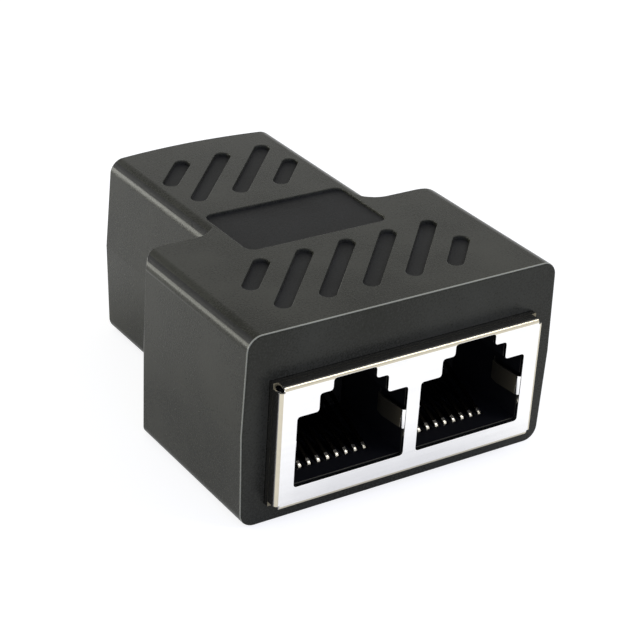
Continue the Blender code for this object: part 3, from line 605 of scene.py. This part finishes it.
def close_corners(shield, low, high, end):
    """Butts the folded walls together behind a small hole that the folding leaves in each corner."""
    facing = math.copysign(1.0, low.y + high.y)
    bpy.ops.object.mode_set(mode="EDIT")
    for depth in (CORNER_HOLE, CORNER_HOLE + CORNER_STEP):
        bpy.ops.mesh.select_all(action="SELECT")
        bpy.ops.mesh.bisect(plane_co=(0.0, facing * (end - depth), 0.0), plane_no=(0.0, 1.0, 0.0),
                            threshold=MERGED)
    bpy.ops.object.mode_set(mode="OBJECT")
    reach = FOLD_REACH + HAIR
    for vertex in shield.data.vertices:
        place = vertex.co
        if abs(place.y) > end - CORNER_HOLE - HAIR:
            continue
        if abs(place.x) > high.x - SHEET - HAIR:
            if place.z > high.z - reach:
                place.z = high.z
            elif place.z < low.z + reach:
                place.z = low.z
        elif abs(place.x) > high.x - reach:
            if place.z > high.z - SHEET - HAIR or place.z < low.z + SHEET + HAIR:
                place.x = math.copysign(high.x - SHEET - HAIR, place.x)
    bpy.ops.object.mode_set(mode="EDIT")
    bpy.ops.mesh.select_all(action="SELECT")
    bpy.ops.mesh.remove_doubles(threshold=MERGED)
    bpy.ops.mesh.dissolve_degenerate(threshold=SLIVER)
    bpy.ops.object.mode_set(mode="OBJECT")


def in_folded_wall(place, low, high):
    """Tells whether a place lies in one of the four walls or in a fold that leads to it."""
    at_side = abs(place.x) > high.x - FOLD_REACH
    at_edge = place.z > high.z - FOLD_REACH or place.z < low.z + FOLD_REACH
    return at_side or at_edge


def room_beside(edge, face):
    """Measures how wide a face is at the middle of one of its edges."""
    start, end = (vertex.co for vertex in edge.verts)
    middle = (start + end) / 2
    across = face.normal.cross(end - start).normalized()
    room = math.inf
    for other in face.edges:
        if other == edge:
            continue
        first, second = (vertex.co for vertex in other.verts)
        meeting = intersect_line_line(middle, middle + across * MM, first, second)
        if meeting is None:
            continue
        along = (meeting[1] - first).dot(second - first) / (second - first).length_squared
        if 0.0 <= along <= 1.0 and (meeting[0] - meeting[1]).length < NEAR:
            room = min(room, (meeting[0] - middle).length)
    return room


def shield_share(edge, low, high, end):
    """Rounds what stands out of the housing, by what the faces beside each edge hold."""
    for vertex in edge.verts:
        if in_folded_wall(vertex.co, low, high) and abs(vertex.co.y) < end - CORNER_HOLE - NEAR:
            return 0.0
    room = min(room_beside(edge, face) for face in edge.link_faces)
    return min(1.0, room / (ROOM_PER_EDGE * SHIELD_EDGE))


shield_plating = plated_metal("shield_plating", SHIELD_COLOUR, roughness=0.1, spread=0.1,
                              line_scale=SHIELD_LINES, line_depth=LINE_DEPTH)
lit_fold_plating = plated_metal("lit_fold_plating", LIT_FOLD_COLOUR, roughness=0.3, spread=0.2,
                            line_scale=SHIELD_LINES, line_depth=DULL_LINE_DEPTH)
shaded_wall_plating = plated_metal("shaded_wall_plating", SHADED_WALL_COLOUR, roughness=0.2, spread=0.2,
                            line_scale=SHIELD_LINES, line_depth=DULL_LINE_DEPTH)
shaded_finger_plating = plated_metal("shaded_finger_plating", SHADED_FINGER_COLOUR, roughness=0.42, spread=0.3,
                              line_scale=SHIELD_LINES, line_depth=DULL_LINE_DEPTH)
for node, name in (("front_shield", "front_jack_shield"), ("rear_shield", "rear_jack_shield")):
    low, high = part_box(node)
    end = max(abs(low.y), abs(high.y))
    shield = take_shape(node, name)
    close_corners(shield, low, high, end)
    round_edges(shield, SHIELD_EDGE, lambda edge: shield_share(edge, low, high, end))
    finish(shield, shield_plating, lit_fold_plating, shaded_finger_plating, shaded_wall_plating)

    # The half of a fold that faces the plug is painted a lit cream tone, the rest of it and the wall
    # behind it are painted darker as shade, and the fingers and the small corner holes are painted dark
    # as shade.
    for face in shield.data.polygons:
        facing_out = max(abs(face.normal.x), abs(face.normal.z))
        slanted = abs(face.normal.y) < FACING_FRONT and facing_out < FACING_OUT
        in_wall = in_folded_wall(face.center, low, high)
        from_middle = abs(face.center.y)
        if slanted and in_wall and from_middle > end - FOLD_REACH:
            face.material_index = LIT_FOLD if abs(face.normal.y) > FOLD_MIDDLE else SHADED_WALL
        elif not in_wall and from_middle < end - FOLD_REACH:
            face.material_index = SHADED_FINGER
        # The back of each small corner hole is painted dark as shade.
        elif abs(from_middle - (end - CORNER_HOLE)) < HOLE_SHADE:
            face.material_index = SHADED_FINGER
        elif from_middle < end - FOLD_REACH:
            face.material_index = SHADED_WALL
        else:
            face.material_index = PLATE


# Jack bodies
# Black mouldings behind the shields that line the ports: stepped roof, slotted floor with a front
# lip, and posts that snap into the board.

BODY_COLOUR = (0.008, 0.008, 0.009)
BODY_EDGE = 0.07 * MM
INSIDE_GRAIN = 3600.0

body_plastic = moulded_plastic("body_plastic", BODY_COLOUR, roughness=0.34,
                               grain_scale=INSIDE_GRAIN, grain_depth=0.006 * MM, gloss=0.4)
for node, name in (("front_insulator", "front_jack_body"), ("rear_insulator", "rear_jack_body")):
    body = take_shape(node, name)
    round_edges(body, BODY_EDGE)
    finish(body, body_plastic)


# Contact carriers
# Small mouldings that slide in from behind and close each port, with a comb that guides the free
# ends of the contacts.

CARRIER_COLOUR = (0.01, 0.01, 0.011)
CARRIER_EDGE = 0.06 * MM

carrier_plastic = moulded_plastic("carrier_plastic", CARRIER_COLOUR, roughness=0.45,
                                  grain_scale=INSIDE_GRAIN, grain_depth=0.006 * MM, gloss=0.4)
for port in ("left", "right", "rear"):
    carrier = take_shape(port + "_carrier", port + "_contact_carrier")
    round_edges(carrier, CARRIER_EDGE)
    finish(carrier, carrier_plastic)


# Contacts
# Eight sprung strips of plated bronze in each port, stamped and bent, so their edges are round. Only
# the bend at the nose is bright: its gold is a painted glint, and the rest is painted dark as shade.

GOLD_COLOUR = (0.98, 0.93, 0.8)
SHADED_BRONZE_COLOUR = (0.05, 0.042, 0.032)
CONTACT_EDGE = 0.06 * MM
CONTACT_LINES = 6000.0
CONTACTS = 8
GLINT_MIDDLE = 19.0 * MM
GLINT_REACH = 0.28 * MM
CURL_START = 18.6 * MM
CURL_RISE = 0.45 * MM

contact_plating = plated_metal("contact_plating", GOLD_COLOUR, roughness=0.25, spread=0.1,
                               line_scale=CONTACT_LINES, line_depth=0.0006 * MM)
# Painted glint and shade: the gold stays only round the nose bend, and the rest of each contact is dark
# bronze.
tree = contact_plating.node_tree
place = tree.nodes.new("ShaderNodeTexCoord")
parts = tree.nodes.new("ShaderNodeSeparateXYZ")
tree.links.new(place.outputs["Object"], parts.inputs[0])
either_end = tree.nodes.new("ShaderNodeMath")
either_end.operation = "ABSOLUTE"
tree.links.new(parts.outputs["Y"], either_end.inputs[0])
glint_spot = tree.nodes.new("ShaderNodeMath")
glint_spot.operation = "COMPARE"
glint_spot.inputs[1].default_value = GLINT_MIDDLE
glint_spot.inputs[2].default_value = GLINT_REACH
tree.links.new(either_end.outputs[0], glint_spot.inputs[0])
glint_and_shade = tree.nodes.new("ShaderNodeMix")
glint_and_shade.data_type = "RGBA"
glint_and_shade.inputs["A"].default_value = (*SHADED_BRONZE_COLOUR, 1.0)
glint_and_shade.inputs["B"].default_value = (*GOLD_COLOUR, 1.0)
tree.links.new(glint_spot.outputs[0], glint_and_shade.inputs["Factor"])
tree.links.new(glint_and_shade.outputs["Result"], tree.nodes["lines"].inputs["Base Color"])

# The nose of each contact is raised to where the photograph shows its glint.
for port in ("left", "right", "rear"):
    for number in range(1, CONTACTS + 1):
        contact = take_shape(f"{port}_contact_{number}", f"{port}_spring_{number}")
        for vertex in contact.data.vertices:
            if abs(vertex.co.y) > CURL_START:
                vertex.co.z += CURL_RISE
        round_edges(contact, CONTACT_EDGE)
        finish(contact, contact_plating)


# Circuit board
# Glass-fibre laminate with green solder resist, drilled for the contacts' tails and the posts. It
# lies over both jacks inside the housing.

BOARD_COLOUR = (0.01, 0.07, 0.03)
BOARD_EDGE = 0.05 * MM
BOARD_GRAIN = 2200.0

board_resist = moulded_plastic("board_resist", BOARD_COLOUR, roughness=0.3,
                               grain_scale=BOARD_GRAIN, grain_depth=0.004 * MM)
board = take_shape("circuit_board", "jack_board")
round_edges(board, BOARD_EDGE)
finish(board, board_resist)
